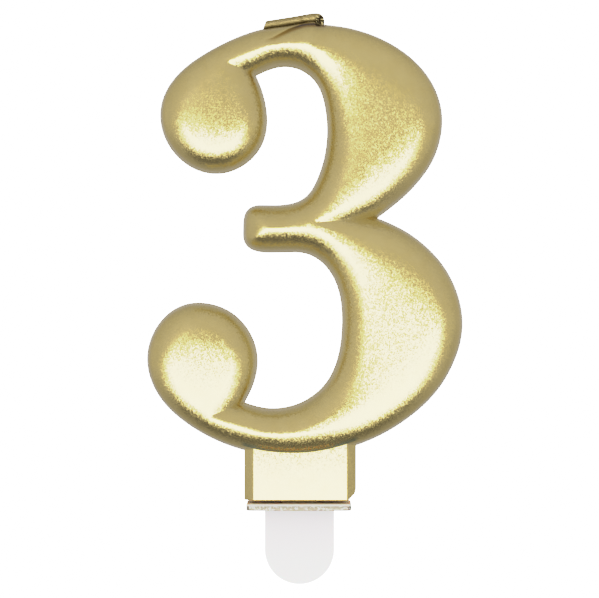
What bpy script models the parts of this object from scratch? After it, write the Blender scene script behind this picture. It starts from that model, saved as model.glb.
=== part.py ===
"""Number birthday candle: a cast numeral with its plinth, a folded wick and a push-in pick.

Metres, +Z up, +X to the viewer's right, front face towards -Y.
Origin: centre of the underside of the pick's collar, where the collar meets the cake.
"""
import math

import bmesh
import bpy
import numpy as np
from mathutils import Matrix, Vector
from mathutils.geometry import delaunay_2d_cdt

MM = 0.001
GAP = 0.3                      # clearance between neighbouring pieces

# Numeral: front profile, as distance in from the parting line against height off the mid plane
WALL_IN, WALL_H = 0.6, 3.9     # drafted side wall
BEVEL_IN, HALF_T = 3.5, 6.0    # end of the bevel, half thickness
STEP = 1.9                     # spacing of points along the outline
REFINE, TOLERANCE = 3, 0.3     # passes that add points where the facets stray from the profile

# Plinth, cast in one with the numeral
PLINTH_W, PLINTH_D = 18.7, 6.0
PLINTH_BOTTOM, PLINTH_TOP = 1.6, 12.7
PLINTH_CHAMFER = 1.6

# Pick
COLLAR_W, COLLAR_D, COLLAR_T, COLLAR_R = 17.7, 8.0, 1.1, 1.0
BLADE_W, BLADE_T, BLADE_END = 11.6, 1.6, 12.6
TANG_W, TANG_T, TANG_TOP, TANG_TIP_W = 6.0, 1.6, 7.2, 4.6
SOCKET_TOP = 7.8

# Wick
WICK_R = 0.75
STEM_X, STEM_BOTTOM, STEM_TOP = 3.3, 74.3, 81.55
CHANNEL_BOTTOM = 73.9
KNUCKLE = (3.05, 82.62)
TAIL_END = (-5.9, 81.5)

# Outline of the numeral, clockwise from the top: x, z, heading in degrees (0 = +X, 90 = +Z).
# A sharp inner corner has two headings, one coming in and one going out.
TOP_AND_UPPER_BOWL = [
    (2.8, 81.4, -1), (8.0, 80.8, -13), (15.5, 78.0, -30), (21.5, 72.7, -55), (24.0, 65.1, -90),
    (22.8, 59.3, -112), (19.5, 54.3, -131), (13.15, 48.8, -143, -21)]
LOWER_BOWL = [
    (19.6, 45.4, -37), (25.0, 39.5, -60), (27.4, 31.0, -90), (24.8, 22.3, -119), (18.0, 15.0, -144),
    (10.9, 11.3, -159), (-1.1, 9.0, -180), (-12.8, 11.1, -202)]
LOWER_BALL = [
    (-20.6, 15.6, -220), (-24.8, 21.2, -248), (-25.6, 25.1, -270), (-23.8, 30.8, -304),
    (-17.1, 34.6, -360), (-9.9, 31.7, -406), (-7.0, 24.8, -450), (-9.15, 17.85, -480, -378)]
LOWER_COUNTER = [
    (-4.6, 16.9, 0), (1.2, 18.4, 30), (5.3, 22.6, 63), (7.1, 31.9, 90), (4.9, 40.0, 126),
    (1.6, 42.6, 159), (-2.1, 43.0, 180)]
MIDDLE_BAR = [
    (-6.1, 43.0, 176), (-9.2, 44.6, 117), (-9.5, 46.8, 88), (-8.9, 50.0, 55), (-6.5, 51.0, 0)]
UPPER_COUNTER = [
    (-2.4, 51.1, 9), (0.9, 52.3, 40), (3.2, 56.0, 68), (4.6, 63.5, 90), (3.6, 69.8, 109),
    (0.8, 73.2, 148), (-2.7, 74.1, 182)]
UPPER_BALL = [
    (-7.25, 72.65, 204.5, -65), (-5.4, 65.1, -90), (-7.9, 58.8, -136), (-14.4, 56.2, -183),
    (-20.5, 59.1, -226), (-23.4, 66.1, -270), (-21.3, 71.9, -307.5), (-15.1, 76.9, -330),
    (-7.8, 80.2, -342.5), (-1.7, 81.0, -356)]
OUTLINE = (TOP_AND_UPPER_BOWL + LOWER_BOWL + LOWER_BALL + LOWER_COUNTER + MIDDLE_BAR
           + UPPER_COUNTER + UPPER_BALL)
WAIST, LOWER_NOTCH, UPPER_NOTCH = (13.15, 48.8), (-9.15, 17.85), (-7.25, 72.65)


# ---------------------------------------------------------------- plane geometry
def unit(heading):
    """Unit vector along a heading in degrees."""
    return np.array([math.cos(math.radians(heading)), math.sin(math.radians(heading))])


def outline_points(anchors, step):
    """Smooth closed curve through the anchors, sampled about every `step`."""
    points = []
    for here, there in zip(anchors, anchors[1:] + anchors[:1]):
        a, b = np.array(here[:2]), np.array(there[:2])
        turn = math.radians((there[2] - here[-1] + 180) % 360 - 180)
        chord = float(np.hypot(*(b - a)))
        handle = chord / (3 * math.cos(turn / 4) ** 2)
        c, d = a + unit(here[-1]) * handle, b - unit(there[2]) * handle
        count = max(2, round(chord / step))
        for k in range(count):
            t = k / count
            s = 1 - t
            points.append(s * s * s * a + 3 * s * s * t * c + 3 * s * t * t * d + t * t * t * b)
    return np.array(points)


def split(loop, corner, heading):
    """Cut a closed outline along a ray from one of its corners; returns both pieces."""
    start = int(np.argmin(np.hypot(*(loop - corner).T)))
    loop = np.roll(loop, -start, axis=0)
    p, r = loop[0], unit(heading)
    best = None
    for i in range(1, len(loop) - 1):
        q, s = loop[i], loop[i + 1] - loop[i]
        cross = r[0] * s[1] - r[1] * s[0]
        if abs(cross) < 1e-12:
            continue
        w = q - p
        t = (w[0] * s[1] - w[1] * s[0]) / cross
        u = (w[0] * r[1] - w[1] * r[0]) / cross
        if t > 1e-6 and 0 <= u < 1 and (best is None or t < best[0]):
            best = (t, i)
    hit = p + r * best[0]
    i = best[1]
    return np.vstack([loop[:i + 1], hit]), np.vstack([loop[0], hit, loop[i + 1:]])


def depth_inside(loop, points):
    """Distance of each point to a closed outline, negative outside it."""
    a = loop
    b = np.roll(loop, -1, axis=0)
    ab = b - a
    w = points[:, None, :] - a[None]
    t = np.clip((w * ab).sum(2) / (ab * ab).sum(1), 0, 1)
    near = np.sqrt(((w - t[..., None] * ab) ** 2).sum(2)).min(1)
    y = points[:, None, 1]
    crossing = (a[None, :, 1] > y) != (b[None, :, 1] > y)
    rise = np.where(np.abs(ab[:, 1]) < 1e-12, 1e-12, ab[:, 1])
    at = a[None, :, 0] + (y - a[None, :, 1]) * ab[:, 0] / rise
    inside = (crossing & (points[:, None, 0] < at)).sum(1) % 2 == 1
    return np.where(inside, near, -near)


class Numeral:
    """The numeral's outline and its depth field: four strokes whose slopes meet in mitred valleys."""

    def __init__(self, step):
        self.loop = outline_points(OUTLINE, step)
        loop = self.loop
        self.upper_ball = self.holding(loop, UPPER_NOTCH, 115, (-14, 64))
        self.lower_ball = self.holding(loop, LOWER_NOTCH, -120, (-16, 26))
        upper = self.holding(loop, UPPER_NOTCH, 204.5, (15, 75))
        self.upper = self.holding(upper, WAIST, -143, (15, 75))
        lower = self.holding(loop, LOWER_NOTCH, 162, (15, 20))
        self.lower = self.holding(lower, WAIST, 159, (15, 20))
        self.valleys = [(UPPER_NOTCH, 159.7), (LOWER_NOTCH, 201), (WAIST, -172)]

    @staticmethod
    def holding(loop, corner, heading, inside):
        """The piece, of the two made by a cut, that holds a given point."""
        for piece in split(loop, np.array(corner), heading):
            if depth_inside(piece, np.array([inside], float))[0] > 0:
                return piece
        raise RuntimeError("no piece of the outline holds that point")

    def depth(self, points):
        lobes = (self.upper, self.lower, self.upper_ball, self.lower_ball)
        return np.max([depth_inside(lobe, points) for lobe in lobes], axis=0)


def profile(depth):
    """Height of the front surface off the mid plane at a distance in from the parting line."""
    return np.interp(depth, [0.0, WALL_IN, BEVEL_IN], [0.0, WALL_H, HALF_T])


def numeral_mesh():
    """Closed body of the numeral: the same relief front and back, joined at the parting line."""
    shape = Numeral(STEP)
    loop = shape.loop
    n = len(loop)
    along = np.roll(loop, -1, axis=0) - np.roll(loop, 1, axis=0)
    inward = np.stack([along[:, 1], -along[:, 0]], axis=1)
    inward /= np.hypot(*inward.T)[:, None]
    points, edges = [tuple(p) for p in loop], [(i, (i + 1) % n) for i in range(n)]
    corners = {int(np.argmin(np.hypot(*(loop - c).T))) for c in (WAIST, LOWER_NOTCH, UPPER_NOTCH)}
    levels = (WALL_IN, 2.0, BEVEL_IN)
    for corner, heading in shape.valleys:
        last = int(np.argmin(np.hypot(*(loop - corner).T)))
        line = np.array(corner) + np.linspace(0.02, 9, 200)[:, None] * unit(heading)
        field = shape.depth(line)
        for level in levels + (field.max() - 0.02,):
            if level > field.max():
                continue
            points.append(tuple(line[int(np.argmax(field >= level))]))
            edges.append((last, len(points) - 1))
            last = len(points) - 1
    fixed = len(points)
    rings = []
    for level in levels:
        ring = loop + inward * level
        good = shape.depth(ring) > level - 0.02
        rings += [(ring[i], level) for i in range(n) if good[i] and i not in corners]
    low, high = np.zeros(n), np.full(n, BEVEL_IN)
    for _ in range(14):
        middle = (low + high) / 2
        clear = shape.depth(loop + inward * middle[:, None]) > middle - 0.03
        low, high = np.where(clear, middle, low), np.where(clear, high, middle)
    rings += [(loop[i] + inward[i] * low[i], low[i]) for i in range(n)
              if i not in corners and low[i] < BEVEL_IN - 0.05]
    for place, level in rings:
        spacing = 0.35 if level <= WALL_IN else 0.75
        gaps = np.hypot(*(np.array(points) - place).T)
        if gaps.min() > spacing:
            points.append(tuple(place))
    for _ in range(REFINE):
        flat, _, faces, *_ = delaunay_2d_cdt([Vector(p) for p in points], edges, [list(range(n))],
                                             1, 1e-6)
        flat = np.array([tuple(v) for v in flat])
        height = profile(np.maximum(shape.depth(flat), 0.0))
        height[:n] = 0.0
        faces = np.array(faces)
        centres = flat[faces].mean(1)
        error = np.abs(profile(np.maximum(shape.depth(centres), 0.0)) - height[faces].mean(1))
        points += [tuple(c) for c in centres[error > TOLERANCE]]
    mesh = bmesh.new()
    front = [mesh.verts.new((x * MM, -y * MM, z * MM)) for (x, z), y in zip(flat, height)]
    rim = set(range(n))
    back = [front[i] if i in rim else mesh.verts.new((x * MM, y * MM, z * MM))
            for i, ((x, z), y) in enumerate(zip(flat, height))]
    for face in faces:
        face = [int(i) for i in face]
        mesh.faces.new([front[i] for i in face])
        mesh.faces.new([back[i] for i in reversed(face)])
    bmesh.ops.recalc_face_normals(mesh, faces=mesh.faces)
    return mesh


# ---------------------------------------------------------------- bodies
def material(name, colour, metallic, roughness):
    made = bpy.data.materials.new(name)
    made.use_nodes = True
    shader = made.node_tree.nodes["Principled BSDF"]
    shader.inputs["Base Color"].default_value = (*colour, 1.0)
    shader.inputs["Metallic"].default_value = metallic
    shader.inputs["Roughness"].default_value = roughness
    return made


def add(name, mesh, surface=None):
    data = bpy.data.meshes.new(name)
    mesh.to_mesh(data)
    mesh.free()
    made = bpy.data.objects.new(name, data)
    bpy.context.scene.collection.objects.link(made)
    if surface:
        data.materials.append(surface)
    else:
        made.hide_render = True
        made.display_type = "WIRE"
    return made


def cut(target, tool, operation="DIFFERENCE"):
    change = target.modifiers.new(tool.name, "BOOLEAN")
    change.operation = operation
    change.solver = "EXACT"
    change.object = tool


def slab(outline, low, high, axis="Z"):
    """Straight block of a plane outline: along Z from (x, y), or along Y from (x, z)."""
    mesh = bmesh.new()
    rows = []
    for level in (low, high):
        places = [(u, v, level) if axis == "Z" else (u, level, v) for u, v in outline]
        rows.append([mesh.verts.new(Vector(p) * MM) for p in places])
    mesh.faces.new(rows[0])
    mesh.faces.new(rows[1])
    for i in range(len(outline)):
        j = (i + 1) % len(outline)
        mesh.faces.new([rows[0][i], rows[0][j], rows[1][j], rows[1][i]])
    bmesh.ops.recalc_face_normals(mesh, faces=mesh.faces)
    return mesh


def chamfered(width, depth, c):
    """Rectangle with cut corners."""
    x, y = width / 2, depth / 2
    return [(x, -y + c), (x, y - c), (x - c, y), (-x + c, y),
            (-x, y - c), (-x, -y + c), (-x + c, -y), (x - c, -y)]


def rounded(width, depth, radius, steps=4):
    """Rectangle with round corners."""
    points = []
    for k, (sx, sy) in enumerate(((1, 1), (-1, 1), (-1, -1), (1, -1))):
        for i in range(steps + 1):
            a = math.radians(90 * (k + i / steps))
            points.append((sx * (width / 2 - radius) + radius * math.cos(a),
                           sy * (depth / 2 - radius) + radius * math.sin(a)))
    return points


def rod(start, end, radius, sides=16, ball=False):
    """Round rod between two points of the mid plane, with an optional ball at its start."""
    mesh = bmesh.new()
    a, b = (Vector((p[0], 0, p[1])) * MM for p in (start, end))
    turn = (b - a).to_track_quat("Z", "Y").to_matrix().to_4x4()
    rows = []
    stops = [(0.0, radius)]
    if ball:
        stops = [(-radius * math.cos(math.radians(t)), radius * math.sin(math.radians(t)))
                 for t in (22.5, 45, 67.5, 90)]
    stops.append(((b - a).length / MM, radius))
    for along, r in stops:
        ring = [Vector((r * math.cos(2 * math.pi * i / sides), r * math.sin(2 * math.pi * i / sides),
                        along)) * MM for i in range(sides)]
        rows.append([mesh.verts.new(Matrix.Translation(a) @ turn @ v) for v in ring])
    for low, high in zip(rows, rows[1:]):
        for i in range(sides):
            j = (i + 1) % sides
            mesh.faces.new([low[i], low[j], high[j], high[i]])
    if ball:
        tip = mesh.verts.new(Matrix.Translation(a) @ turn @ Vector((0, 0, -radius * MM)))
        for i in range(sides):
            mesh.faces.new([tip, rows[0][(i + 1) % sides], rows[0][i]])
    else:
        mesh.faces.new(rows[0])
    mesh.faces.new(rows[-1])
    bmesh.ops.recalc_face_normals(mesh, faces=mesh.faces)
    return mesh


def build_candle():
    """Wax numeral and plinth in one casting, with the wick's channel and the tang's socket."""
    gold = material("gold_wax", (0.72, 0.60, 0.26), 1.0, 0.3)
    candle = add("candle_body", numeral_mesh(), gold)
    foot = add("plinth_cutter", slab(chamfered(PLINTH_W, PLINTH_D, PLINTH_CHAMFER),
                                     PLINTH_BOTTOM, PLINTH_TOP))
    cut(candle, foot, "UNION")
    socket = slab([(-TANG_W / 2 - GAP, PLINTH_BOTTOM - 1), (TANG_W / 2 + GAP, PLINTH_BOTTOM - 1),
                   (TANG_W / 2 + GAP, SOCKET_TOP), (-TANG_W / 2 - GAP, SOCKET_TOP)],
                  -TANG_T / 2 - GAP, TANG_T / 2 + GAP, "Y")
    cut(candle, add("socket_cutter", socket))
    channel = rod((STEM_X, CHANNEL_BOTTOM), (STEM_X, STEM_TOP + 3), WICK_R + GAP)
    cut(candle, add("channel_cutter", channel))


def build_wick():
    """Wick in two pieces: the stem cast into the wax and the tail folded over beside it."""
    cotton = material("wick_cotton", (0.74, 0.64, 0.36), 0.8, 0.45)
    add("wick_stem", rod((STEM_X, STEM_BOTTOM), (STEM_X, STEM_TOP), WICK_R), cotton)
    pivot = bpy.data.objects.new("wick_pivot", None)
    bpy.context.scene.collection.objects.link(pivot)
    pivot.location = (KNUCKLE[0] * MM, 0, KNUCKLE[1] * MM)
    tail = add("wick_tail", rod(KNUCKLE, TAIL_END, WICK_R, ball=True), cotton)
    tail.parent = pivot
    tail.matrix_parent_inverse = Matrix.Translation(-pivot.location)


def build_pick():
    """Push-in pick in one moulding: round-ended blade, collar and the tang that holds the candle."""
    plastic = material("pick_plastic", (0.92, 0.92, 0.89), 0.0, 0.35)
    pick = add("pick", slab(rounded(COLLAR_W, COLLAR_D, COLLAR_R), 0, COLLAR_T), plastic)
    r = BLADE_W / 2
    blade = [(r, 0.5), (-r, 0.5)]
    for i in range(25):
        a = math.radians(180 + 180 * i / 24)
        blade.append((r * math.cos(a), -BLADE_END + r + r * math.sin(a)))
    cut(pick, add("blade_cutter", slab(blade, -BLADE_T / 2, BLADE_T / 2, "Y")), "UNION")
    tang = [(-TANG_W / 2, 0.5), (TANG_W / 2, 0.5), (TANG_W / 2, TANG_TOP - 1.2),
            (TANG_TIP_W / 2, TANG_TOP), (-TANG_TIP_W / 2, TANG_TOP), (-TANG_W / 2, TANG_TOP - 1.2)]
    cut(pick, add("tang_cutter", slab(tang, -TANG_T / 2, TANG_T / 2, "Y")), "UNION")


def main():
    for old in list(bpy.data.objects):
        bpy.data.objects.remove(old, do_unlink=True)
    build_candle()
    build_wick()
    build_pick()


main()
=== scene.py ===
"""Number birthday candle: looks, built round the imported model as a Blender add-on.

Metres, +Z up, front towards -Y. Lengths inside the modelling functions are in millimetres.
"""
import math

import bmesh
import bpy
import numpy as np
from bpy.props import FloatProperty, FloatVectorProperty, PointerProperty
from mathutils import Matrix, Vector, noise
from mathutils.geometry import delaunay_2d_cdt


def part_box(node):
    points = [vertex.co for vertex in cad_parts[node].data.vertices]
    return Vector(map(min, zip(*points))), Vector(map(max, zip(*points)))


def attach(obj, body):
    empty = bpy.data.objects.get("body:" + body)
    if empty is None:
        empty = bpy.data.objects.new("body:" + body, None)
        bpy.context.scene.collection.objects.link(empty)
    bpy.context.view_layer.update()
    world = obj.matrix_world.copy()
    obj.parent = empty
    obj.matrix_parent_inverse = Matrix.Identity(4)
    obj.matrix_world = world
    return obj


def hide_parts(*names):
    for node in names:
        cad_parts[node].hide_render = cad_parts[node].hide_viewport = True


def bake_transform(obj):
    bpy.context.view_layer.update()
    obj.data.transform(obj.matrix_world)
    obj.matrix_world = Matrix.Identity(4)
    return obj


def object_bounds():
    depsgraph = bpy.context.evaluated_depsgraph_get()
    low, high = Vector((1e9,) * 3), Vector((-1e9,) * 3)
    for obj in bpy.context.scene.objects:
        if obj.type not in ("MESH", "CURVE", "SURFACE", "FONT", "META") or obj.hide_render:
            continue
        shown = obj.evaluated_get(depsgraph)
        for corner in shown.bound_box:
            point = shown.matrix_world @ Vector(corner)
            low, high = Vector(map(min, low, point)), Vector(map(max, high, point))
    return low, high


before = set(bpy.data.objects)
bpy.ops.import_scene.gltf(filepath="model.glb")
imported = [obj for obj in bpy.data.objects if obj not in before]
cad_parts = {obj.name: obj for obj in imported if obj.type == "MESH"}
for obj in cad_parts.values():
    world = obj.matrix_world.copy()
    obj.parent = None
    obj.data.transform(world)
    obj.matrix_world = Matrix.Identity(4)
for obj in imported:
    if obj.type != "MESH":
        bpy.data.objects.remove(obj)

bl_info = {
    "name": "Number birthday candle",
    "version": (1, 0, 0),
    "blender": (4, 5, 0),
    "location": "3D View > Sidebar > Candle",
    "description": "A cast numeral candle in satin metallic gold with its wick and pick",
    "category": "Add Mesh",
}

MM = 0.001
SAME = 1e-7                    # two places nearer than this, in metres, are one
CAD_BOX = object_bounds()
HALF_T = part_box("candle_body")[1].y / MM
PICK_LOW, PICK_HIGH = (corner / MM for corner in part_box("pick"))


# ---------------------------------------------------------------- settings
class CandleSizes(bpy.types.PropertyGroup):
    """Sizes a maker of the mould would change."""
    wall_draft: FloatProperty(
        name="Wall draft", description="How far the side wall leans in from the parting line",
        default=0.25 * MM, unit="LENGTH")
    bevel_height: FloatProperty(
        name="Bevel height", description="Rise of the strokes from the wall to their crown",
        default=4.9 * MM, unit="LENGTH")
    outline_step: FloatProperty(
        name="Outline step", description="Spacing of points along the numeral's outline",
        default=0.32 * MM, unit="LENGTH")
    plinth_width: FloatProperty(
        name="Plinth width", description="Width of the block under the numeral",
        default=18.7 * MM, unit="LENGTH")
    plinth_depth: FloatProperty(
        name="Plinth depth", description="Depth of the block under the numeral",
        default=6.0 * MM, unit="LENGTH")
    wick_radius: FloatProperty(
        name="Wick radius", description="Half the thickness of the coated cord",
        default=0.66 * MM, unit="LENGTH")


class CandleColours(bpy.types.PropertyGroup):
    """Colours of the finishes, linear."""
    gold: FloatVectorProperty(
        name="Gold coat", description="Sprayed metallic gold", subtype="COLOR",
        default=(0.80, 0.652, 0.265), min=0, max=1)
    gold_deep: FloatVectorProperty(
        name="Deep gold", description="Gold where the coat is thick", subtype="COLOR",
        default=(0.76, 0.60, 0.21), min=0, max=1)
    plastic: FloatVectorProperty(
        name="Pick plastic", description="Milky moulded plastic", subtype="COLOR",
        default=(0.86, 0.865, 0.84), min=0, max=1)
    plastic_warm: FloatVectorProperty(
        name="Pick plastic, upper", description="The plastic's tint just under the collar",
        subtype="COLOR", default=(0.87, 0.81, 0.83), min=0, max=1)


# ---------------------------------------------------------------- shader expressions
class Value:
    """One socket of a node tree; arithmetic on it adds Math nodes."""

    def __init__(self, graph, socket):
        self.graph, self.socket = graph, socket

    def math(self, operation, *terms):
        return self.graph.node("ShaderNodeMath", {"operation": operation}, dict(enumerate(terms)))

    def __add__(self, other):
        return self.math("ADD", self, other)

    def __sub__(self, other):
        return self.math("SUBTRACT", self, other)

    def __rsub__(self, other):
        return self.math("SUBTRACT", other, self)

    def __mul__(self, other):
        return self.math("MULTIPLY", self, other)

    def __truediv__(self, other):
        return self.math("DIVIDE", self, other)

    def __gt__(self, other):
        return self.math("GREATER_THAN", self, other)

    def __abs__(self):
        return self.math("ABSOLUTE", self)

    __radd__, __rmul__ = __add__, __mul__

    def between(self, low, high, to_low=0.0, to_high=1.0):
        """Smooth step from `low` to `high`."""
        settings = {"interpolation_type": "SMOOTHSTEP"}
        inputs = {"Value": self, "From Min": low, "From Max": high,
                  "To Min": to_low, "To Max": to_high}
        return self.graph.node("ShaderNodeMapRange", settings, inputs)


class Graph:
    """Builds nodes in one material's or world's tree."""

    def __init__(self, tree):
        self.tree = tree

    def node(self, kind, settings=None, inputs=None, output=0):
        """Adds a node: its settings first, then the values or links of its sockets."""
        made = self.tree.nodes.new(kind)
        for name, setting in (settings or {}).items():
            if name == "stops":
                ramp = made.color_ramp
                while len(ramp.elements) < len(setting):
                    ramp.elements.new(0.5)
                for element, (place, colour) in zip(ramp.elements, setting):
                    element.position = place
                    element.color = (*colour, 1.0)
            else:
                setattr(made, name, setting)
        for name, value in (inputs or {}).items():
            if isinstance(value, Value):
                self.tree.links.new(value.socket, made.inputs[name])
            else:
                made.inputs[name].default_value = value
        return Value(self, made.outputs[output])

    def mix(self, factor, first, second):
        """Colour between two colours."""
        pick = {6: first, 7: second, 0: factor}
        for key in (6, 7):
            if not isinstance(pick[key], Value):
                pick[key] = (*pick[key], 1.0)[:4]
        return self.node("ShaderNodeMix", {"data_type": "RGBA"}, pick, output=2)

    def vector(self, operation, *terms):
        """Vector arithmetic."""
        return self.node("ShaderNodeVectorMath", {"operation": operation}, dict(enumerate(terms)))

    def axes(self, vector):
        """The X, Y and Z of a vector."""
        parts = self.node("ShaderNodeSeparateXYZ", None, {"Vector": vector}).socket.node.outputs
        return [Value(self, part) for part in parts]

    def noise(self, vector, scale, detail=2.0, roughness=0.5):
        """Smooth noise between 0 and 1."""
        return self.node("ShaderNodeTexNoise", None, {
            "Vector": vector, "Scale": scale, "Detail": detail, "Roughness": roughness})

    def bump(self, height, distance, strength):
        """A normal that leans with a height."""
        return self.node("ShaderNodeBump", None, {
            "Height": height, "Distance": distance, "Strength": strength})


def new_material(name):
    """An empty material: its graph, its object coordinates and its Principled shader."""
    made = bpy.data.materials.new(name)
    made.use_nodes = True
    graph = Graph(made.node_tree)
    shader = made.node_tree.nodes["Principled BSDF"]
    place = graph.node("ShaderNodeTexCoord", output=3)
    return made, graph, shader, place


def feed(graph, shader, **sockets):
    """Sets or links sockets of the Principled shader, named with _ for spaces."""
    for name, value in sockets.items():
        socket = shader.inputs[name.replace("_", " ").title()]
        if isinstance(value, Value):
            graph.tree.links.new(value.socket, socket)
        else:
            socket.default_value = value


# ---------------------------------------------------------------- finishes
FLAKE_SCALE, FLAKE_TILT = 5100.0, 0.13         # flakes per metre, and how far their normals lean
FLAKE_ROUGH = 0.19, 0.25
DIRT = 0.20, 0.15, 0.05
# Painted shade in the crease under the wick: the colour of its sides, then of its darkest floor
CREASE_SHADE_SIDE, CREASE_SHADE_FLOOR = (0.42, 0.26, 0.05), (0.10, 0.05, 0.008)
# The lip that hangs over the plinth, painted duller and darker as shade where the plinth shades it, in
# metres: its middle, the rise of its curve, how far it reaches
LIP_X, LIP_CURVE, LIP_PAINTED_SHADE = -0.0011, 20.0, (0.42, 0.42, 0.22)
LIP_HEIGHTS, LIP_ENDS, PLINTH_FRONT = (0.0097, 0.0104), (0.0090, 0.0100), 0.0031


def gold_material():
    """Satin metallic spray over wax: fine flake, slow waviness, a few dark specks, and painted shade
    in the crease under the wick and on the lip over the plinth.
    """
    colours = bpy.context.scene.candle_colours
    made, graph, shader, place = new_material("satin_gold")
    flake = graph.noise(place, 4800.0, 0.0)
    sway = graph.noise(place, 160.0, 2.0)
    tint = graph.noise(place, 420.0, 3.0).between(0.35, 0.68)
    speck = graph.node("ShaderNodeTexVoronoi", {"feature": "F1"}, {
        "Vector": place, "Scale": 190.0, "Randomness": 1.0})
    dirt = speck.between(0.03, 0.055, 1.0, 0.0) * (graph.noise(place, 95.0) > 0.6)
    colour = graph.mix(tint * 0.35, tuple(colours.gold), tuple(colours.gold_deep))
    colour = graph.mix(dirt * 0.75, colour, DIRT)
    rough = flake.between(0.3, 0.7, *FLAKE_ROUGH)
    across, depth, height = graph.axes(place)
    off_middle = across - LIP_X
    above_lip = height - off_middle * off_middle * LIP_CURVE
    lip_shade = above_lip.between(*LIP_HEIGHTS, 1.0, 0.0) * abs(across).between(*LIP_ENDS, 1.0, 0.0)
    # Painted shade on the numeral's foot where it overhangs the plinth's front and back
    colour = graph.mix(lip_shade * (abs(depth) > PLINTH_FRONT), colour, LIP_PAINTED_SHADE)
    # Painted shade in the crease under the wick, read from the mesh, deepening to its floor
    crease = graph.node("ShaderNodeAttribute", {"attribute_name": "crease"}, output=2)
    colour = graph.mix(crease.between(0.0, 0.5), colour, CREASE_SHADE_SIDE)
    colour = graph.mix(crease.between(0.45, 0.95), colour, CREASE_SHADE_FLOOR)
    normal = graph.bump(sway, 0.00012, 0.05)
    cells = graph.node("ShaderNodeTexVoronoi", {"feature": "F1"}, {
        "Vector": place, "Scale": FLAKE_SCALE, "Randomness": 1.0}, output=1)
    tilt = graph.vector("MULTIPLY_ADD", cells, (FLAKE_TILT,) * 3, (-FLAKE_TILT / 2,) * 3)
    normal = graph.vector("NORMALIZE", graph.vector("ADD", normal, tilt))
    feed(graph, shader, base_color=colour, metallic=1.0, roughness=rough, normal=normal)
    return made


WICK_SHADE, WICK_GOLD = (0.25, 0.19, 0.07), (0.39, 0.312, 0.135)
BEND_GOLD, CRACK = (0.74, 0.62, 0.29), (0.04, 0.025, 0.008)
BEND_CENTRE, BEND_REACH = (0.0036, -0.0006, 0.0820), (0.0006, 0.0011)


def wick_material():
    """Braided cotton stiffened by gold spray, dark in the crevices."""
    made, graph, shader, place = new_material("gold_wick")
    lump = graph.noise(place, 900.0, 3.0, 0.65)
    fibre = graph.noise(graph.node("ShaderNodeMapping", None, {
        "Vector": place, "Scale": (0.35, 1.0, 1.0)}), 4200.0, 2.0, 0.6)
    cover = (fibre * 0.5 + lump * 0.6).between(0.34, 0.56)
    bend = graph.node("ShaderNodeVectorMath", {"operation": "DISTANCE"}, {
        0: place, 1: BEND_CENTRE}, output=1).between(*BEND_REACH, 1.0, 0.0)
    crack = graph.node("ShaderNodeTexVoronoi", {"feature": "DISTANCE_TO_EDGE"}, {
        "Vector": place, "Scale": 1400.0})
    colour = graph.mix(cover, WICK_SHADE, WICK_GOLD)
    colour = graph.mix(bend, colour, BEND_GOLD)
    colour = graph.mix(bend * crack.between(0.10, 0.24, 1.0, 0.0), colour, CRACK)
    normal = graph.bump(fibre * 0.5 + lump - bend * crack.between(0.0, 0.3, 1.5, 0.0), 0.00025, 0.8)
    feed(graph, shader, base_color=colour, metallic=0.9, roughness=0.5, normal=normal)
    return made


# The last colour is painted shade, browned like a reflection of the gold, for the collar's top under
# the plinth
COLLAR_TINT, OVERSPRAY, SEAM_PAINTED_SHADE = (0.44, 0.435, 0.39), (0.20, 0.18, 0.125), (0.42, 0.30, 0.16)
COLLAR_FOOT, OVERSPRAY_TOP = -0.00005, (0.0006, 0.00095)
SEAM_FROM, SEAM_TO, SEAM_REACH = 0.00104, 0.0014, 0.0038   # the collar's top, in metres
PLASTIC_ROUGH, SEAM_ROUGH = 0.34, 0.95


def pick_material():
    """Milky translucent moulding; the collar's rim carries speckled gold overspray, and its top under
    the plinth a painted shade, browned like a reflection of the gold.
    """
    colours = bpy.context.scene.candle_colours
    made, graph, shader, place = new_material("milky_pick")
    _, depth, height = graph.axes(place)
    warm = (height + graph.noise(place, 120.0) * 0.004).between(-0.0085, 0.0005)
    colour = graph.mix(warm, tuple(colours.plastic), tuple(colours.plastic_warm))
    grit = graph.noise(place, 2600.0, 2.0, 0.7)
    on_collar = height > COLLAR_FOOT
    colour = graph.mix(on_collar, colour, COLLAR_TINT)
    veil = on_collar * height.between(*OVERSPRAY_TOP, 1.0, 0.0) * grit.between(0.36, 0.5)
    colour = graph.mix(veil * 0.9, colour, OVERSPRAY)
    # Painted shade on the collar's top under the plinth, browned like a reflection of the gold and
    # kept rough so it stays dark
    seam_shade = (height > SEAM_FROM) * (SEAM_TO - height > 0.0) * (SEAM_REACH - abs(depth) > 0.0)
    colour = graph.mix(seam_shade, colour, SEAM_PAINTED_SHADE)
    normal = graph.bump(graph.noise(place, 700.0, 2.0), 0.00004, 0.35)
    rough = seam_shade.between(0.0, 1.0, PLASTIC_ROUGH, SEAM_ROUGH)
    feed(graph, shader, base_color=colour, metallic=veil * 0.5, roughness=rough, normal=normal)
    feed(graph, shader, subsurface_weight=0.25, subsurface_scale=0.002)
    return made


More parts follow.
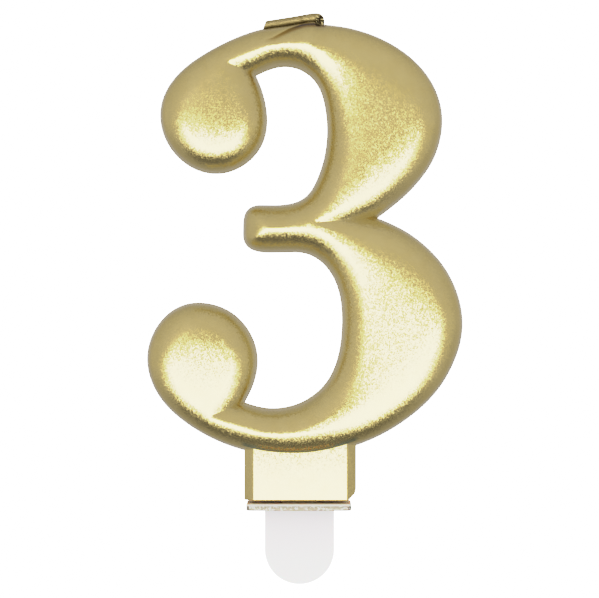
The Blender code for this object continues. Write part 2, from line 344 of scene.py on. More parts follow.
# ---------------------------------------------------------------- the numeral's outline
# Clockwise from the top: x, z, heading in degrees (0 = +X, 90 = +Z).
# A sharp inner corner has two headings, one coming in and one going out.
TOP_AND_UPPER_BOWL = [
    (2.3, 81.84, 4), (2.95, 81.62, -50), (4.0, 81.36, -8), (8.0, 80.8, -12), (15.5, 78.0, -30),
    (21.5, 72.7, -55), (24.0, 65.1, -90), (22.8, 59.3, -112), (19.5, 54.3, -131),
    (13.15, 48.8, -143, -21)]
LOWER_BOWL = [
    (19.6, 45.4, -37), (25.0, 39.5, -60), (27.4, 31.0, -90), (24.8, 22.3, -119), (18.0, 15.0, -144),
    (10.9, 11.1, -159), (-1.1, 8.75, -180), (-12.8, 10.95, -202)]
LOWER_BALL = [
    (-20.6, 15.6, -220), (-24.8, 21.2, -248), (-25.6, 25.1, -270), (-23.8, 30.8, -304),
    (-17.1, 34.6, -360), (-9.9, 31.7, -406), (-7.0, 24.8, -450), (-9.15, 17.85, -480, -378)]
LOWER_COUNTER = [
    (-4.6, 16.9, 0), (1.2, 18.4, 30), (5.3, 22.6, 63), (7.1, 31.9, 90), (4.9, 40.0, 126),
    (1.6, 42.6, 159), (-2.1, 43.0, 180)]
MIDDLE_BAR = [
    (-6.1, 43.0, 176), (-9.2, 44.6, 117), (-9.5, 46.8, 88), (-8.9, 50.0, 55), (-6.5, 51.0, 0)]
UPPER_COUNTER = [
    (-2.4, 51.1, 9), (0.9, 52.3, 40), (3.2, 56.0, 68), (4.6, 63.5, 90), (3.6, 69.8, 109),
    (0.8, 73.2, 148), (-2.7, 74.1, 182)]
UPPER_BALL = [
    (-7.25, 72.65, 204.5, -65), (-5.4, 65.1, -90), (-7.9, 58.8, -136), (-14.4, 56.2, -183),
    (-20.5, 59.1, -226), (-23.4, 66.1, -270), (-21.3, 71.9, -307.5), (-15.1, 76.9, -330),
    (-7.8, 80.15, -342.5), (-1.7, 81.2, -351)]
OUTLINE = (TOP_AND_UPPER_BOWL + LOWER_BOWL + LOWER_BALL + LOWER_COUNTER + MIDDLE_BAR
           + UPPER_COUNTER + UPPER_BALL)
WAIST, LOWER_NOTCH, UPPER_NOTCH = (13.15, 48.8), (-9.15, 17.85), (-7.25, 72.65)
# Headings of the cuts that bound the two strokes at each inner corner; the valley runs between
UPPER_CUTS, LOWER_CUTS, WAIST_CUTS = (197.7, 121.7), (168.0, 231.0), (206.0, 164.0)
VALLEYS = ((UPPER_NOTCH, 159.7), (LOWER_NOTCH, 199.5), (WAIST, 185.0))

# Slope of the relief in degrees at distances in from the edge of the drafted wall
RELIEF = ((0.0, 83), (0.15, 77), (0.3, 70), (0.6, 58), (0.95, 51), (1.3, 45), (1.6, 41.5), (2.0, 38),
          (2.3, 35), (2.7, 31), (3.1, 27.5), (3.5, 22), (3.9, 17), (4.4, 12), (5.0, 8), (5.8, 4.5),
          (7.8, 1.5), (9.5, 1))
# Rows of points at distances in from the edge, close together where the relief is steep
RING_DEPTHS = (0.12, 0.25, 0.31, 0.38, 0.46, 0.55, 0.66, 0.79, 0.93, 1.08, 1.23, 1.4, 1.6, 1.85, 2.1,
               2.35, 2.6, 2.85, 3.1, 3.35, 3.6, 3.9, 4.2, 4.5, 4.85, 5.2, 5.6, 6.0, 6.4, 6.8, 7.2,
               7.6, 8.0, 8.4, 8.8, 9.2, 9.6)
# Least distance between those points: fixed up to a depth, then a share of the outline's step
STEEP_UNTIL, STEEP_APART, BROAD_APART, RING_SLACK = 0.9, 0.055, 0.6, 0.015
# Points along a valley: sampling step, longest reach, first sample kept and every how many
VALLEY_STEP, VALLEY_REACH, VALLEY_FIRST, VALLEY_EVERY = 0.02, 12, 6, 13

# The crease that runs from under the wick down the shoulder
GROOVE = ((3.9, 81.12), (2.77, 81.15), (1.33, 81.12), (0.37, 80.95), (-0.78, 80.48), (-1.54, 80.15),
          (-2.9, 79.38), (-4.4, 78.5), (-6.1, 78.0))
GROOVE_DEPTH, GROOVE_LIP, GROOVE_SLOPE = 0.42, 0.28, 0.75
# How dark its painted shade is at shares of its length, and how far the painted shade spreads to
# either side
GROOVE_SHADE = ((0.0, 1.0), (0.38, 1.0), (0.5, 0.8), (0.75, 0.5), (0.875, 0.3), (1.0, 0.0))
SHADE_LIP, SHADE_SLOPE = 0.14, 0.55
# Rows of points along it: their spacing, least distance, least depth, and offsets to the side
GROOVE_STEP, GROOVE_APART, GROOVE_INSIDE = 0.2, 0.09, 0.3
GROOVE_ROWS = (0.0, 0.12, -0.12, 0.26, -0.26, 0.42, 0.6, 0.8, -0.42)

# Fairing of the outline, and the places it leaves alone: centre, radius, ease beyond it, least share
FAIRING_ROUNDS, FAIRING_STEPS = 900, (0.5, -0.5035)
HELD = (((-7.0, 46.9), 5.5, 4.0, 0.0), ((2.4, 81.5), 2.0, 3.0, 0.02))
# Softening: how far inside the wall each starts, and its rounds
CROWN_FROM, CROWN_ROUNDS, BROAD_FROM, BROAD_ROUNDS = 1.0, 7, 4.2, 30
# The two narrow arms: middle, half length and the height where each ends
LOWER_ARM, UPPER_ARM, ARM_EASE, ARM_STEEPNESS = (-2.0, 9.0, 18.5), (-2.5, 7.0, 71.5), 0.8, 0.2
# The bow of the face from foot to top, and the ease of the crease where it meets the wall
FACE_BOW, FACE_MIDDLE, FACE_REACH, FACE_EASE = 1.1, 45.0, 25, 0.7
WALL_EASE = 0.3


def unit(heading):
    """Unit vector along a heading in degrees."""
    return np.array([math.cos(math.radians(heading)), math.sin(math.radians(heading))])


def outline_points(anchors, step):
    """Smooth closed curve through the anchors, sampled about every `step`."""
    points = []
    for here, there in zip(anchors, anchors[1:] + anchors[:1]):
        a, b = np.array(here[:2]), np.array(there[:2])
        turn = math.radians((there[2] - here[-1] + 180) % 360 - 180)
        chord = float(np.hypot(*(b - a)))
        handle = chord / (3 * math.cos(turn / 4) ** 2)
        c, d = a + unit(here[-1]) * handle, b - unit(there[2]) * handle
        count = max(2, round(chord / step))
        for k in range(count):
            t = k / count
            s = 1 - t
            points.append(s * s * s * a + 3 * s * s * t * c + 3 * s * t * t * d + t * t * t * b)
    return np.array(points)


def faired(loop, corners):
    """The outline with its curvature evened out, without shrinking.

    The sharp inner corners stay where they are, and so does the middle bar. The root of the wick
    hardly moves.
    """
    free = np.ones(len(loop))
    for centre, radius, ease, least in HELD:
        free = np.minimum(free, np.clip((np.hypot(*(loop - centre).T) - radius) / ease, least, 1.0))
    for corner in corners:
        free[int(np.argmin(np.hypot(*(loop - corner).T)))] = 0.0
    for _ in range(FAIRING_ROUNDS):
        for amount in FAIRING_STEPS:
            pull = (np.roll(loop, 1, axis=0) + np.roll(loop, -1, axis=0)) / 2 - loop
            loop = loop + amount * free[:, None] * pull
    return loop


def split(loop, corner, heading):
    """Cut a closed outline along a ray from one of its corners; returns both pieces."""
    start = int(np.argmin(np.hypot(*(loop - corner).T)))
    loop = np.roll(loop, -start, axis=0)
    p, r = loop[0], unit(heading)
    best = None
    for i in range(1, len(loop) - 1):
        q, s = loop[i], loop[i + 1] - loop[i]
        cross = r[0] * s[1] - r[1] * s[0]
        w = q - p
        if abs(cross) < 1e-12:
            continue
        t = (w[0] * s[1] - w[1] * s[0]) / cross
        u = (w[0] * r[1] - w[1] * r[0]) / cross
        if t > 1e-6 and 0 <= u < 1 and (best is None or t < best[0]):
            best = (t, i)
    hit = p + r * best[0]
    i = best[1]
    return np.vstack([loop[:i + 1], hit]), np.vstack([loop[0], hit, loop[i + 1:]])


def depth_inside(loop, points):
    """Distance of each point to a closed outline, negative outside it."""
    a = loop
    ab = np.roll(loop, -1, axis=0) - a
    rise = np.where(np.abs(ab[:, 1]) < 1e-12, 1e-12, ab[:, 1])
    found = []
    for some in np.array_split(points, max(1, len(points) // 1500)):
        w = some[:, None, :] - a[None]
        t = np.clip((w * ab).sum(2) / (ab * ab).sum(1), 0, 1)
        near = np.sqrt(((w - t[..., None] * ab) ** 2).sum(2)).min(1)
        y = some[:, None, 1]
        crossing = (a[None, :, 1] > y) != (a[None, :, 1] + ab[None, :, 1] > y)
        at = a[None, :, 0] + (y - a[None, :, 1]) * ab[:, 0] / rise
        inside = (crossing & (some[:, None, 0] < at)).sum(1) % 2 == 1
        found.append(np.where(inside, near, -near))
    return np.concatenate(found)


class Numeral:
    """The numeral's outline and depth field: four strokes whose slopes meet in mitred valleys."""

    def __init__(self, step):
        self.loop = faired(outline_points(OUTLINE, step), (WAIST, LOWER_NOTCH, UPPER_NOTCH))
        upper = self.holding(self.loop, UPPER_NOTCH, UPPER_CUTS[0], (15, 75))
        lower = self.holding(self.loop, LOWER_NOTCH, LOWER_CUTS[0], (15, 20))
        self.strokes = (self.holding(upper, WAIST, WAIST_CUTS[0], (15, 75)),
                        self.holding(lower, WAIST, WAIST_CUTS[1], (15, 20)),
                        self.holding(self.loop, UPPER_NOTCH, UPPER_CUTS[1], (-14, 64)),
                        self.holding(self.loop, LOWER_NOTCH, LOWER_CUTS[1], (-16, 26)))

    @staticmethod
    def holding(loop, corner, heading, inside):
        """The piece, of the two made by a cut, that holds a given point."""
        for piece in split(loop, np.array(corner), heading):
            if depth_inside(piece, np.array([inside], float))[0] > 0:
                return piece
        raise RuntimeError("no piece of the outline holds that point")

    def depth(self, points):
        """Distance of each point in from the edge of the stroke that holds it."""
        return np.max([depth_inside(stroke, points) for stroke in self.strokes], axis=0)


def inset(loop, step):
    """A closed outline with its long edges divided, each point with its inward direction."""
    points = []
    for a, b in zip(loop, np.roll(loop, -1, axis=0)):
        count = max(1, round(float(np.hypot(*(b - a))) / step))
        points += [a + (b - a) * k / count for k in range(count)]
    points = np.array(points)
    along = np.roll(points, -1, axis=0) - np.roll(points, 1, axis=0)
    inward = np.stack([along[:, 1], -along[:, 0]], axis=1)
    return np.hstack([points, inward / np.hypot(*inward.T)[:, None]])


def relief_height(depth, draft, crown):
    """Height off the mid plane at a distance in from the parting line."""
    fine = np.linspace(0.0, RELIEF[-1][0], 600)
    slope = np.tan(np.radians(np.interp(fine, *zip(*RELIEF))))
    rise = np.concatenate([[0], np.cumsum((slope[1:] + slope[:-1]) / 2 * np.diff(fine))])
    rise *= crown / rise[-1]
    wall = HALF_T - crown
    return np.where(depth < draft, wall * depth / draft, wall + np.interp(depth - draft, fine, rise))


class Spacing:
    """Keeps points at least a given distance apart."""

    def __init__(self, cell):
        self.cell, self.cells, self.points = cell, {}, []

    def add(self, point, apart):
        """Keeps the point unless another lies nearer than `apart`."""
        cx, cy = int(point[0] // self.cell), int(point[1] // self.cell)
        for i in (-1, 0, 1):
            for j in (-1, 0, 1):
                for other in self.cells.get((cx + i, cy + j), ()):
                    if math.hypot(point[0] - other[0], point[1] - other[1]) < apart:
                        return
        self.cells.setdefault((cx, cy), []).append(point)
        self.points.append(point)


def numeral_plan(shape, step):
    """Points and valley edges of one face of the numeral, triangulated."""
    loop = shape.loop
    n = len(loop)
    keep = Spacing(step)
    for p in loop:
        keep.add(tuple(p), 0.0)
    edges = [(i, (i + 1) % n) for i in range(n)]
    for corner, heading in VALLEYS:
        last = int(np.argmin(np.hypot(*(loop - corner).T)))
        reach = np.arange(VALLEY_STEP, VALLEY_REACH, VALLEY_STEP)
        line = np.array(corner) + reach[:, None] * unit(heading)
        end = int(np.argmax(shape.depth(line)))
        for k in range(VALLEY_FIRST, end, VALLEY_EVERY):
            keep.add(tuple(line[k]), 0.0)
            edges.append((last, len(keep.points) - 1))
            last = len(keep.points) - 1
    fixed = len(keep.points)
    groove = inset(np.array(GROOVE), GROOVE_STEP)
    for offset in GROOVE_ROWS:
        beside = groove[:, :2] + groove[:, 2:] * offset
        for i in np.flatnonzero(shape.depth(beside) > GROOVE_INSIDE):
            keep.add(tuple(beside[i]), GROOVE_APART)
    borders = [inset(stroke, step) for stroke in shape.strokes]
    for level in RING_DEPTHS:
        apart = STEEP_APART if level < STEEP_UNTIL else BROAD_APART * step
        for stroke in borders:
            ring = stroke[:, :2] + stroke[:, 2:] * level
            for i in np.flatnonzero(np.abs(shape.depth(ring) - level) < RING_SLACK):
                keep.add(tuple(ring[i]), apart)
    flat, _, faces, *_ = delaunay_2d_cdt([Vector(p) for p in keep.points], edges,
                                         [list(range(n))], 1, 1e-6)
    return np.array([tuple(v) for v in flat]), faces, n, fixed


def along_groove(flat):
    """How far along the crease under the wick each point is, 0 to 1, and its offset to the right."""
    line = np.array(GROOVE)
    best = np.full(len(flat), 1e9)
    place, side = np.zeros(len(flat)), np.zeros(len(flat))
    for k, (a, b) in enumerate(zip(line, line[1:])):
        ab = b - a
        t = np.clip(((flat - a) @ ab) / (ab @ ab), 0, 1)
        away = flat - (a + t[:, None] * ab)
        off = np.hypot(*away.T)
        nearer = off < best
        best = np.where(nearer, off, best)
        place = np.where(nearer, (k + t) / (len(line) - 1), place)
        side = np.where(nearer, np.sign(ab[0] * away[:, 1] - ab[1] * away[:, 0]), side)
    return place, best * side


def wick_groove(flat):
    """Depth of the crease: a steep lip on its upper left, an easy slope on its lower right."""
    place, offset = along_groove(flat)
    width = np.where(offset > 0, GROOVE_SLOPE, GROOVE_LIP)
    return GROOVE_DEPTH * np.exp(-(offset / width) ** 2) * (1 - place) ** 0.8


def groove_shade(flat):
    """How dark the crease's painted shade is: a sharp edge on its upper left that fades to the lower
    right.
    """
    place, offset = along_groove(flat)
    width = np.where(offset > 0, SHADE_SLOPE, SHADE_LIP)
    return np.interp(place, *zip(*GROOVE_SHADE)) * np.exp(-(offset / width) ** 2)


def face_bow(z):
    """How much thinner the casting is towards its top and foot than at its middle."""
    return FACE_BOW * (1 - np.exp(-FACE_EASE * ((z - FACE_MIDDLE) / FACE_REACH) ** 2))


def relaxed(flat, faces, height, chosen, rounds):
    """Heights eased towards their neighbours', weighted so that a slanted plane stays as it is."""
    corners = np.array([tuple(face) for face in faces])
    here, there, weight = [], [], []
    for k in range(3):
        apex, first, second = (corners[:, (k + j) % 3] for j in range(3))
        u, v = flat[first] - flat[apex], flat[second] - flat[apex]
        cotangent = (u * v).sum(1) / np.maximum(np.abs(u[:, 0] * v[:, 1] - u[:, 1] * v[:, 0]), 1e-9)
        here += [first, second]
        there += [second, first]
        weight += [np.clip(cotangent, -0.2, 20)] * 2
    here, there, weight = (np.concatenate(part) for part in (here, there, weight))
    total = np.bincount(here, weight, len(flat))
    for _ in range(rounds):
        mean = np.bincount(here, weight * height[there], len(flat)) / total
        height = np.where(chosen, (height + mean) / 2, height)
    return height


def arm_share(flat):
    """How far each point belongs to one of the two narrow arms, whose sides are steeper."""
    x, z = flat.T
    middle, half, top = LOWER_ARM
    lower = np.exp(-((x - middle) / half) ** 4) / (1 + np.exp((z - top) / ARM_EASE))
    middle, half, foot = UPPER_ARM
    upper = np.exp(-((x - middle) / half) ** 4) / (1 + np.exp((foot - z) / ARM_EASE))
    return lower + upper


def numeral_mesh(draft, crown, step):
    """The numeral: relief over its outline, crowns softened, valleys crisp, mirrored to the back."""
    shape = Numeral(step)
    flat, faces, rim, fixed = numeral_plan(shape, step)
    depth = np.maximum(shape.depth(flat), 0.0)
    depth[:rim] = 0.0
    wall = HALF_T - crown
    tight = 1 - ARM_STEEPNESS * arm_share(flat)
    height = relief_height(draft + (depth - draft) * np.where(depth > draft, tight, 1), draft, crown)
    height = np.where(depth > draft, wall + (height - wall) / tight, height)
    height *= 1 - face_bow(flat[:, 1]) * height / HALF_T ** 2
    free = np.arange(len(flat)) >= fixed
    height = relaxed(flat, faces, height, free & (depth > draft + CROWN_FROM), CROWN_ROUNDS)
    height = relaxed(flat, faces, height, free & (depth > BROAD_FROM), BROAD_ROUNDS)
    inner = np.clip((depth - draft) / WALL_EASE, 0, 1)
    height -= wick_groove(flat) * inner
    mesh = bmesh.new()
    for (x, z), y in zip(flat, height):
        mesh.verts.new((x * MM, -y * MM, z * MM))
    mesh.verts.ensure_lookup_table()
    for face in faces:
        mesh.faces.new([mesh.verts[i] for i in face])
    # The crease's painted shade, stored on the vertices for the gold material
    crease = mesh.verts.layers.float.new("crease")
    for vert, shade in zip(mesh.verts, groove_shade(flat) * inner):
        vert[crease] = shade
    valley = {mesh.verts[i] for i in range(rim, fixed)}
    for edge in mesh.edges:
        if edge.verts[0] in valley and edge.verts[1] in valley:
            edge.smooth = False
    copy = bmesh.ops.duplicate(mesh, geom=mesh.verts[:] + mesh.edges[:] + mesh.faces[:])["geom"]
    back = [g for g in copy if isinstance(g, bmesh.types.BMVert)]
    bmesh.ops.scale(mesh, vec=(1, -1, 1), verts=back)
    bmesh.ops.remove_doubles(mesh, verts=mesh.verts, dist=1e-6)
    bmesh.ops.recalc_face_normals(mesh, faces=mesh.faces)
    return mesh


# ---------------------------------------------------------------- pieces
def add_object(name, mesh, surface=None):
    """A named object at the origin whose place is in its mesh."""
    data = bpy.data.meshes.new(name)
    mesh.to_mesh(data)
    mesh.free()
    data.shade_smooth()
    made = bpy.data.objects.new(name, data)
    bpy.context.scene.collection.objects.link(made)
    if surface:
        data.materials.append(surface)
    return made


def join(target, tool):
    """Unites the tool with the target and removes the tool."""
    change = target.modifiers.new("join", "BOOLEAN")
    change.operation, change.solver, change.object = "UNION", "EXACT", tool
    graph = bpy.context.evaluated_depsgraph_get()
    data = bpy.data.meshes.new_from_object(target.evaluated_get(graph), depsgraph=graph)
    target.modifiers.clear()
    old, target.data = target.data, data
    data.name = target.name
    bpy.data.meshes.remove(old)
    bpy.data.objects.remove(tool, do_unlink=True)


def bevelled(mesh, edges, width, segments):
    """Bevels edges by a width in millimetres."""
    bmesh.ops.bevel(mesh, geom=edges, offset=width * MM, offset_type="OFFSET", affect="EDGES",
                    segments=segments, profile=0.5, material=-1)


def sliced(mesh, point, normal):
    """Cuts off what lies beyond a plane, whose point is in millimetres, and closes the cut."""
    geom = mesh.verts[:] + mesh.edges[:] + mesh.faces[:]
    cut = bmesh.ops.bisect_plane(mesh, geom=geom, plane_co=Vector(point) * MM, plane_no=normal,
                                 clear_outer=True)
    rim = [g for g in cut["geom_cut"] if isinstance(g, bmesh.types.BMEdge)]
    bmesh.ops.contextual_create(mesh, geom=rim)


def block(low, high, edges, width, segments=1):
    """Box between two corners, in millimetres, with chosen edges bevelled."""
    mesh = bmesh.new()
    bmesh.ops.create_cube(mesh, size=1.0)
    low, high = Vector(low) * MM, Vector(high) * MM
    bmesh.ops.scale(mesh, vec=high - low, verts=mesh.verts)
    bmesh.ops.translate(mesh, vec=(low + high) / 2, verts=mesh.verts)
    bevelled(mesh, [e for e in mesh.edges if edges(e)], width, segments)
    return mesh


def upright(edge):
    """Whether an edge runs straight up."""
    a, b = (v.co for v in edge.verts)
    return abs(a.x - b.x) < SAME and abs(a.y - b.y) < SAME


PLINTH_RISE, PLINTH_SHIFT = 11.0, 0.12
PLINTH_CHAMFER, PLINTH_SOFT = 1.55, 0.16
# Knocks on the plinth's lower corners: side, height over the foot, lean of the cut
PLINTH_KNOCKS = ((1, 2.0, 0.2), (1, 1.35, 1.0), (-1, 0.1, 0.66))


def plinth_mesh(width, depth, low):
    """Block with chamfered upright edges, softened arrises and knocked lower corners."""
    high = low + PLINTH_RISE
    mesh = block((-width / 2, -depth / 2, low), (width / 2, depth / 2, high), upright,
                 PLINTH_CHAMFER)
    soft = [e for e in mesh.edges if upright(e) or max(v.co.z for v in e.verts) < (low + 0.1) * MM]
    bevelled(mesh, soft, PLINTH_SOFT, 3)
    for side, height, lean in PLINTH_KNOCKS:
        sliced(mesh, (side * width / 2, 0, low + height), (side, 0, -lean))
    bmesh.ops.translate(mesh, vec=(PLINTH_SHIFT * MM, 0, 0), verts=mesh.verts)
    bmesh.ops.recalc_face_normals(mesh, faces=mesh.faces)
    return mesh


CASTING_SHARP, PICK_SHARP = 32, 35    # degrees between faces past which an edge is crisp


class CANDLE_OT_numeral(bpy.types.Operator):
    """Casts the numeral and its plinth"""
    bl_idname = "candle.numeral"
    bl_label = "Numeral and plinth"

    def execute(self, context):
        sizes = context.scene.candle_sizes
        mesh = numeral_mesh(sizes.wall_draft / MM, sizes.bevel_height / MM, sizes.outline_step / MM)
        numeral = add_object("numeral_casting", mesh, gold_material())
        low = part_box("candle_body")[0].z / MM
        foot = plinth_mesh(sizes.plinth_width / MM, sizes.plinth_depth / MM, low)
        join(numeral, add_object("plinth_block", foot))
        numeral.data.set_sharp_from_angle(angle=math.radians(CASTING_SHARP))
        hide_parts("candle_body")
        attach(numeral, "candle")
        return {"FINISHED"}


WICK_PATH = ((3.4, 76.0), (3.4, 79.0), (3.46, 81.0), (3.5, 81.9), (3.34, 82.36), (2.8, 82.46),
             (1.9, 82.4), (0.9, 82.27), (-1.6, 81.88), (-4.0, 81.5), (-6.6, 81.1))
WICK_END = (-5.88, 0, 81.2), (-0.95, 0.0, 0.35)  # a point of the slanted cut, its outward normal
WICK_STEP, WICK_SIDES = 0.12, 28
# Its surface, in millimetres: height and fineness of the braid, the swelling over the bend
BRAID = ((0.015, 1.6), (0.008, 6.0))
SWELL, SWELL_X, SWELL_REACH = 0.09, 2.4, 1.6
KNUCKLE, KNUCKLE_REACH = Vector((3.4, 0, 82.1)), 0.85
CRACKS, CRACK_FINENESS, CRACK_SINK = 0.26, 2.6, 0.05


def wick_mesh(radius):
    """Cord swept along its bend, lumpy where the coat has cracked at the knuckle."""
    points = [Vector((x, 0, z)) for x, z in WICK_PATH]
    route = []
    for i in range(len(points) - 1):
        before, after = points[max(i - 1, 0)], points[min(i + 2, len(points) - 1)]
        a, b = points[i], points[i + 1]
        steps = max(2, round((b - a).length / WICK_STEP))
        for k in range(steps):
            t = k / steps
            m, n = (b - before) * 0.5, (after - a) * 0.5
            route.append(a * (2 * t ** 3 - 3 * t * t + 1) + m * (t ** 3 - 2 * t * t + t)
                         + b * (3 * t * t - 2 * t ** 3) + n * (t ** 3 - t * t))
    route.append(points[-1])
    mesh = bmesh.new()
    ring = bmesh.ops.create_circle(mesh, cap_ends=True, radius=radius * MM,
                                   segments=WICK_SIDES)["verts"]
    bmesh.ops.translate(mesh, vec=route[0] * MM, verts=ring)
    face = mesh.faces[:][0]
    heading = Vector((0, 0, 1))
    for here, there in zip(route, route[1:]):
        turn = heading.rotation_difference((there - here).normalized()).to_matrix().to_4x4()
        made = bmesh.ops.extrude_face_region(mesh, geom=[face])["geom"]
        old, face = face, next(g for g in made if isinstance(g, bmesh.types.BMFace))
        bmesh.ops.delete(mesh, geom=[old], context="FACES_ONLY")
        centre = Matrix.Translation(here * MM)
        bmesh.ops.transform(mesh, matrix=centre @ turn @ centre.inverted(), verts=face.verts)
        bmesh.ops.translate(mesh, vec=(there - here) * MM, verts=face.verts)
        heading = (there - here).normalized()
    sliced(mesh, *WICK_END)
    bmesh.ops.recalc_face_normals(mesh, faces=mesh.faces)
    for vert in mesh.verts:
        vert.co += vert.normal * wick_lump(vert.co / MM) * MM
    return mesh


def wick_lump(place):
    """How far the cord's surface stands proud, in millimetres: braid, and cracked coat at the bend."""
    braid = sum(rise * noise.noise(place * fineness) for rise, fineness in BRAID)
    bend = math.exp(-((place - KNUCKLE).length / KNUCKLE_REACH) ** 2)
    swell = SWELL * math.exp(-((place.x - SWELL_X) / SWELL_REACH) ** 2)
    crack = abs(noise.noise(place * CRACK_FINENESS + Vector((7, 3, 1))))
    return braid + swell + bend * (CRACKS * crack - CRACK_SINK)


class CANDLE_OT_wick(bpy.types.Operator):
    """Sweeps the wick out of the wax and folds it over"""
    bl_idname = "candle.wick"
    bl_label = "Wick"

    def execute(self, context):
        mesh = wick_mesh(context.scene.candle_sizes.wick_radius / MM)
        wick = add_object("wick_cord", mesh, wick_material())
        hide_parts("wick_stem", "wick_tail")
        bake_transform(wick)
        return {"FINISHED"}


# The pick, in millimetres; blade and tang both start inside the collar
COLLAR_TOP, COLLAR_TRIM, COLLAR_ROUND, COLLAR_SOFT = 1.1, 0.2, 1.0, 0.15
BLADE_HALF, BLADE_RIM, BLADE_SOFT, BLADE_ARC = 5.8, 0.7, 0.25, 48
PANEL_INSET, PANEL_RISE = 0.6, 0.1
TANG_HALF, TANG_RIM, TANG_SOFT, TANG_TIP = 3, 0.8, 0.4, 6
ROOT = 0.5


def pick_blade():
    """Round-ended blade with a thin bevelled rim and a raised panel on each side."""
    centre = PICK_LOW.z + BLADE_HALF
    mesh = bmesh.new()
    for i in range(BLADE_ARC + 1):
        a = math.radians(180 + 180 * i / BLADE_ARC)
        x, z = BLADE_HALF * math.cos(a), centre + BLADE_HALF * math.sin(a)
        mesh.verts.new(Vector((x, -BLADE_RIM, z)) * MM)
    mesh.verts.new(Vector((BLADE_HALF, -BLADE_RIM, ROOT)) * MM)
    mesh.verts.new(Vector((-BLADE_HALF, -BLADE_RIM, ROOT)) * MM)
    face = mesh.faces.new(mesh.verts)
    made = bmesh.ops.extrude_face_region(mesh, geom=[face])["geom"]
    far = [g for g in made if isinstance(g, bmesh.types.BMVert)]
    bmesh.ops.translate(mesh, vec=(0, 2 * BLADE_RIM * MM, 0), verts=far)
    bmesh.ops.recalc_face_normals(mesh, faces=mesh.faces)
    rims = [e for e in mesh.edges if abs(e.verts[0].co.y - e.verts[1].co.y) < SAME]
    bevelled(mesh, rims, BLADE_SOFT, 4)
    panels = [f for f in mesh.faces if len(f.verts) > BLADE_ARC]
    bmesh.ops.inset_region(mesh, faces=panels, thickness=PANEL_INSET * MM,
                           depth=PANEL_RISE * MM, use_even_offset=True)
    return mesh


def pick_collar():
    """Flat collar with rounded corners and softened rims."""
    mesh = block((PICK_LOW.x, PICK_LOW.y, 0), (PICK_HIGH.x - COLLAR_TRIM, PICK_HIGH.y, COLLAR_TOP),
                 upright, COLLAR_ROUND, 6)
    bevelled(mesh, [e for e in mesh.edges if not upright(e)], COLLAR_SOFT, 3)
    return mesh


def pick_tang():
    """Tongue that holds the candle, eased at its tip."""
    def at_tip(edge):
        return min(v.co.z for v in edge.verts) > TANG_TIP * MM

    return block((-TANG_HALF, -TANG_RIM, ROOT), (TANG_HALF, TANG_RIM, PICK_HIGH.z), at_tip,
                 TANG_SOFT, 3)


class CANDLE_OT_pick(bpy.types.Operator):
    """Moulds the pick: collar, blade and tang"""
    bl_idname = "candle.pick"
    bl_label = "Pick"

    def execute(self, context):
        pick = add_object("pick_moulding", pick_collar(), pick_material())
        join(pick, add_object("blade_tool", pick_blade()))
        join(pick, add_object("tang_tool", pick_tang()))
        pick.data.set_sharp_from_angle(angle=math.radians(PICK_SHARP))
        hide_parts("pick")
        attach(pick, "pick")
        return {"FINISHED"}


# ---------------------------------------------------------------- stage
CAMERA_DISTANCE, CAMERA_HEIGHT = 0.350, 0.0352
FRAME_WIDTH = 0.1006           # width that the camera takes in at the numeral's mid plane
WHITE_LEVEL = 5.0              # scene level that shows as pure white
BACKDROP_LEVEL = WHITE_LEVEL * 1.5
FLOOR_HALF, FLOOR_GAP = 3.0, 0.0005
SHOULDER = ((0.60, 0.60), (0.68, 0.665), (0.78, 0.71), (0.95, 0.74), (1.2, 0.775), (1.5, 0.815),
            (1.9, 0.862), (2.6, 0.905), (3.1, 0.925), (3.8, 0.947))


class CANDLE_OT_stage(bpy.types.Operator):
    """Sets the floor, the soft light and the camera"""
    bl_idname = "candle.stage"
    bl_label = "Stage"

    def execute(self, context):
        scene = context.scene
        scene.view_settings.view_transform = "Standard"
        soft_highlights(scene.view_settings)
        low = CAD_BOX[0].z
        mesh = bmesh.new()
        bmesh.ops.create_grid(mesh, x_segments=1, y_segments=1, size=FLOOR_HALF)
        bmesh.ops.translate(mesh, vec=(0, 0, low - FLOOR_GAP), verts=mesh.verts)
        floor = add_object("floor", mesh, floor_material())
        floor.visible_glossy = False
        floor.visible_diffuse = False
        make_world()
        camera = bpy.data.objects.new("camera", bpy.data.cameras.new("camera"))
        scene.collection.objects.link(camera)
        camera.location = (0, -CAMERA_DISTANCE, CAMERA_HEIGHT)
        camera.rotation_euler = (math.pi / 2, 0, 0)
        camera.data.lens = camera.data.sensor_width * CAMERA_DISTANCE / FRAME_WIDTH
        camera.data.clip_start = 0.01
        scene.camera = camera
        return {"FINISHED"}


def soft_highlights(settings):
    """A film-like shoulder, so that bright gold pales to cream."""
    settings.use_curve_mapping = True
    mapping = settings.curve_mapping
    mapping.white_level = (WHITE_LEVEL,) * 3
    mapping.extend = "HORIZONTAL"
    for level, shown in SHOULDER:
        mapping.curves[3].points.new(level / WHITE_LEVEL, shown)
    for point in mapping.curves[3].points:
        point.handle_type = "VECTOR"
    mapping.update()


def floor_material():
    """Plain pale floor, lit evenly so that it runs into the backdrop."""
    made, graph, shader, place = new_material("pale_floor")
    mottle = graph.mix(graph.noise(place, 3.0) * 0.3, (0.3, 0.3, 0.3), (0.27, 0.27, 0.27))
    feed(graph, shader, base_color=mottle, roughness=0.9)
    feed(graph, shader, emission_color=(1, 1, 1, 1), emission_strength=BACKDROP_LEVEL)
    return made


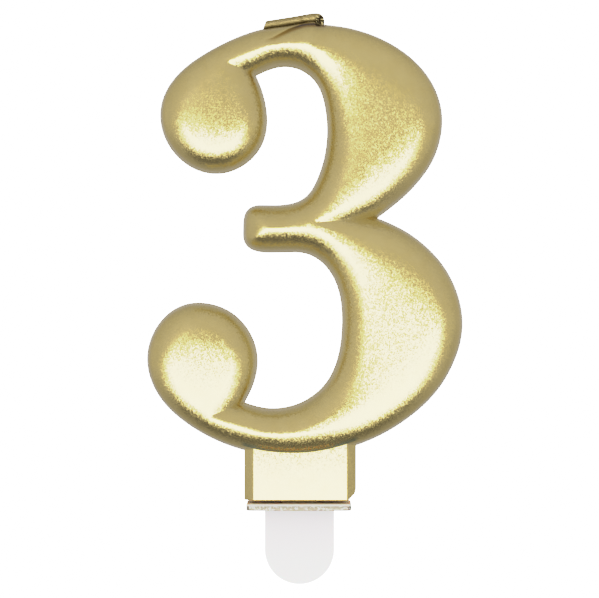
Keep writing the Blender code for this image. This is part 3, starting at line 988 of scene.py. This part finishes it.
# Level of light against the pitch in degrees: 0 ahead of the front, 90 overhead, -90 below
LIGHT_AHEAD = (
    (-180, 0.47), (-140, 0.41), (-115, 0.37), (-95, 0.31), (-85, 0.20), (-73, 0.13), (-66, 0.13),
    (-60, 0.5), (-54, 1.3), (-47, 3.2), (-38, 4.0), (-20, 3.8), (-7, 4.0), (-3, 2.7), (1, 0.80),
    (6, 0.58), (14, 0.60), (20, 0.61), (40, 0.61), (60, 0.59), (80, 0.53), (110, 0.42),
    (140, 0.42), (180, 0.47))
LIGHT_ASIDE = (
    (-180, 0.49), (-140, 0.46), (-100, 0.43), (-70, 0.52), (-20, 0.60), (20, 0.60), (60, 0.55),
    (100, 0.49), (180, 0.49))
LIGHT_LEFT = (
    (-2, 2.6), (3, 1.05), (8, 0.86), (12, 0.8), (18, 0.77), (26, 0.7), (38, 0.64), (55, 0.6))
LIGHT_FAR, LIGHT_PEAK = 0.54, 5.0
FILL_LEVEL = 2.15              # what falls on the matt surfaces
WINDOW_PITCH = -62, 16         # the window's light is neutral, and the rest a little blue
COOL_SIDES = 1.13
BOUNCED = 0.52, 0.60, 1.15     # light met by a second reflection in the candle


def light_ramp(graph, turn, stops):
    """Colour of the light by pitch, as a share of the brightest; `turn` is the pitch from 0 to 1."""
    ramp = []
    for pitch, level in stops:
        blue = 1.0 if WINDOW_PITCH[0] < pitch < WINDOW_PITCH[1] else COOL_SIDES
        share = level / LIGHT_PEAK
        ramp.append((pitch / 360 + 0.5, (share, share, share * blue)))
    return graph.node("ShaderNodeValToRGB", {"stops": ramp}, {"Fac": turn})


def make_world():
    """White for the camera; for reflections, a studio that varies with direction."""
    world = bpy.data.worlds.new("studio")
    bpy.context.scene.world = world
    world.use_nodes = True
    graph = Graph(world.node_tree)
    across, back, up = graph.axes(graph.node("ShaderNodeTexCoord"))
    pitch = graph.node("ShaderNodeMath", {"operation": "ARCTAN2"}, {0: up, 1: 0 - back})
    turn = pitch / (2 * math.pi) + 0.5
    window = abs(across + 0.03).between(0.46, 0.90, 1.0, 0.0)
    studio = graph.mix(window, light_ramp(graph, turn, LIGHT_ASIDE),
                       light_ramp(graph, turn, LIGHT_AHEAD))
    glow = abs(across + 0.42).between(0.14, 0.42, 1.0, 0.0)
    glow = glow * turn.between(0.497, 0.508) * turn.between(0.62, 0.66, 1.0, 0.0)
    studio = graph.mix(glow, studio, light_ramp(graph, turn, LIGHT_LEFT))
    far = LIGHT_FAR / LIGHT_PEAK
    far_left = across.between(-0.99, -0.9, 1.0, 0.0)
    studio = graph.mix(far_left, studio, (far, far, far * COOL_SIDES))
    rays = graph.node("ShaderNodeLightPath").socket.node.outputs
    again = Value(graph, rays["Ray Depth"]).between(2.0, 3.0)
    studio = graph.mix(again, studio, tuple(level / LIGHT_PEAK for level in BOUNCED))
    soft = graph.node("ShaderNodeBackground", None, {"Color": studio, "Strength": LIGHT_PEAK})
    seen = Value(graph, rays["Is Camera Ray"])
    plain = graph.node("ShaderNodeBackground", None, {
        "Color": (1, 1, 1, 1), "Strength": seen.between(0, 1, FILL_LEVEL, BACKDROP_LEVEL)})
    sharp = Value(graph, rays["Is Glossy Ray"])
    both = graph.node("ShaderNodeMixShader", None, {0: sharp, 1: plain, 2: soft})
    graph.tree.links.new(both.socket, graph.tree.nodes["World Output"].inputs["Surface"])


# ---------------------------------------------------------------- add-on
OPERATORS = (CANDLE_OT_stage, CANDLE_OT_numeral, CANDLE_OT_wick, CANDLE_OT_pick)


class CANDLE_PT_build(bpy.types.Panel):
    """Lists the candle's settings and the steps that build it"""
    bl_idname = "CANDLE_PT_build"
    bl_label = "Number candle"
    bl_space_type = "VIEW_3D"
    bl_region_type = "UI"
    bl_category = "Candle"

    def draw(self, context):
        for group in (context.scene.candle_sizes, context.scene.candle_colours):
            for name in group.bl_rna.properties.keys():
                if name not in {"rna_type", "name"}:
                    self.layout.prop(group, name)
        for operator in OPERATORS:
            self.layout.operator(operator.bl_idname)


CLASSES = (CandleSizes, CandleColours, *OPERATORS, CANDLE_PT_build)


def register():
    for made in CLASSES:
        bpy.utils.register_class(made)
    bpy.types.Scene.candle_sizes = PointerProperty(type=CandleSizes)
    bpy.types.Scene.candle_colours = PointerProperty(type=CandleColours)


def unregister():
    del bpy.types.Scene.candle_sizes
    del bpy.types.Scene.candle_colours
    for made in reversed(CLASSES):
        bpy.utils.unregister_class(made)


def main():
    register()
    for operator in OPERATORS:
        group, name = operator.bl_idname.split(".")
        getattr(getattr(bpy.ops, group), name)()


if __name__ == "__main__":
    main()
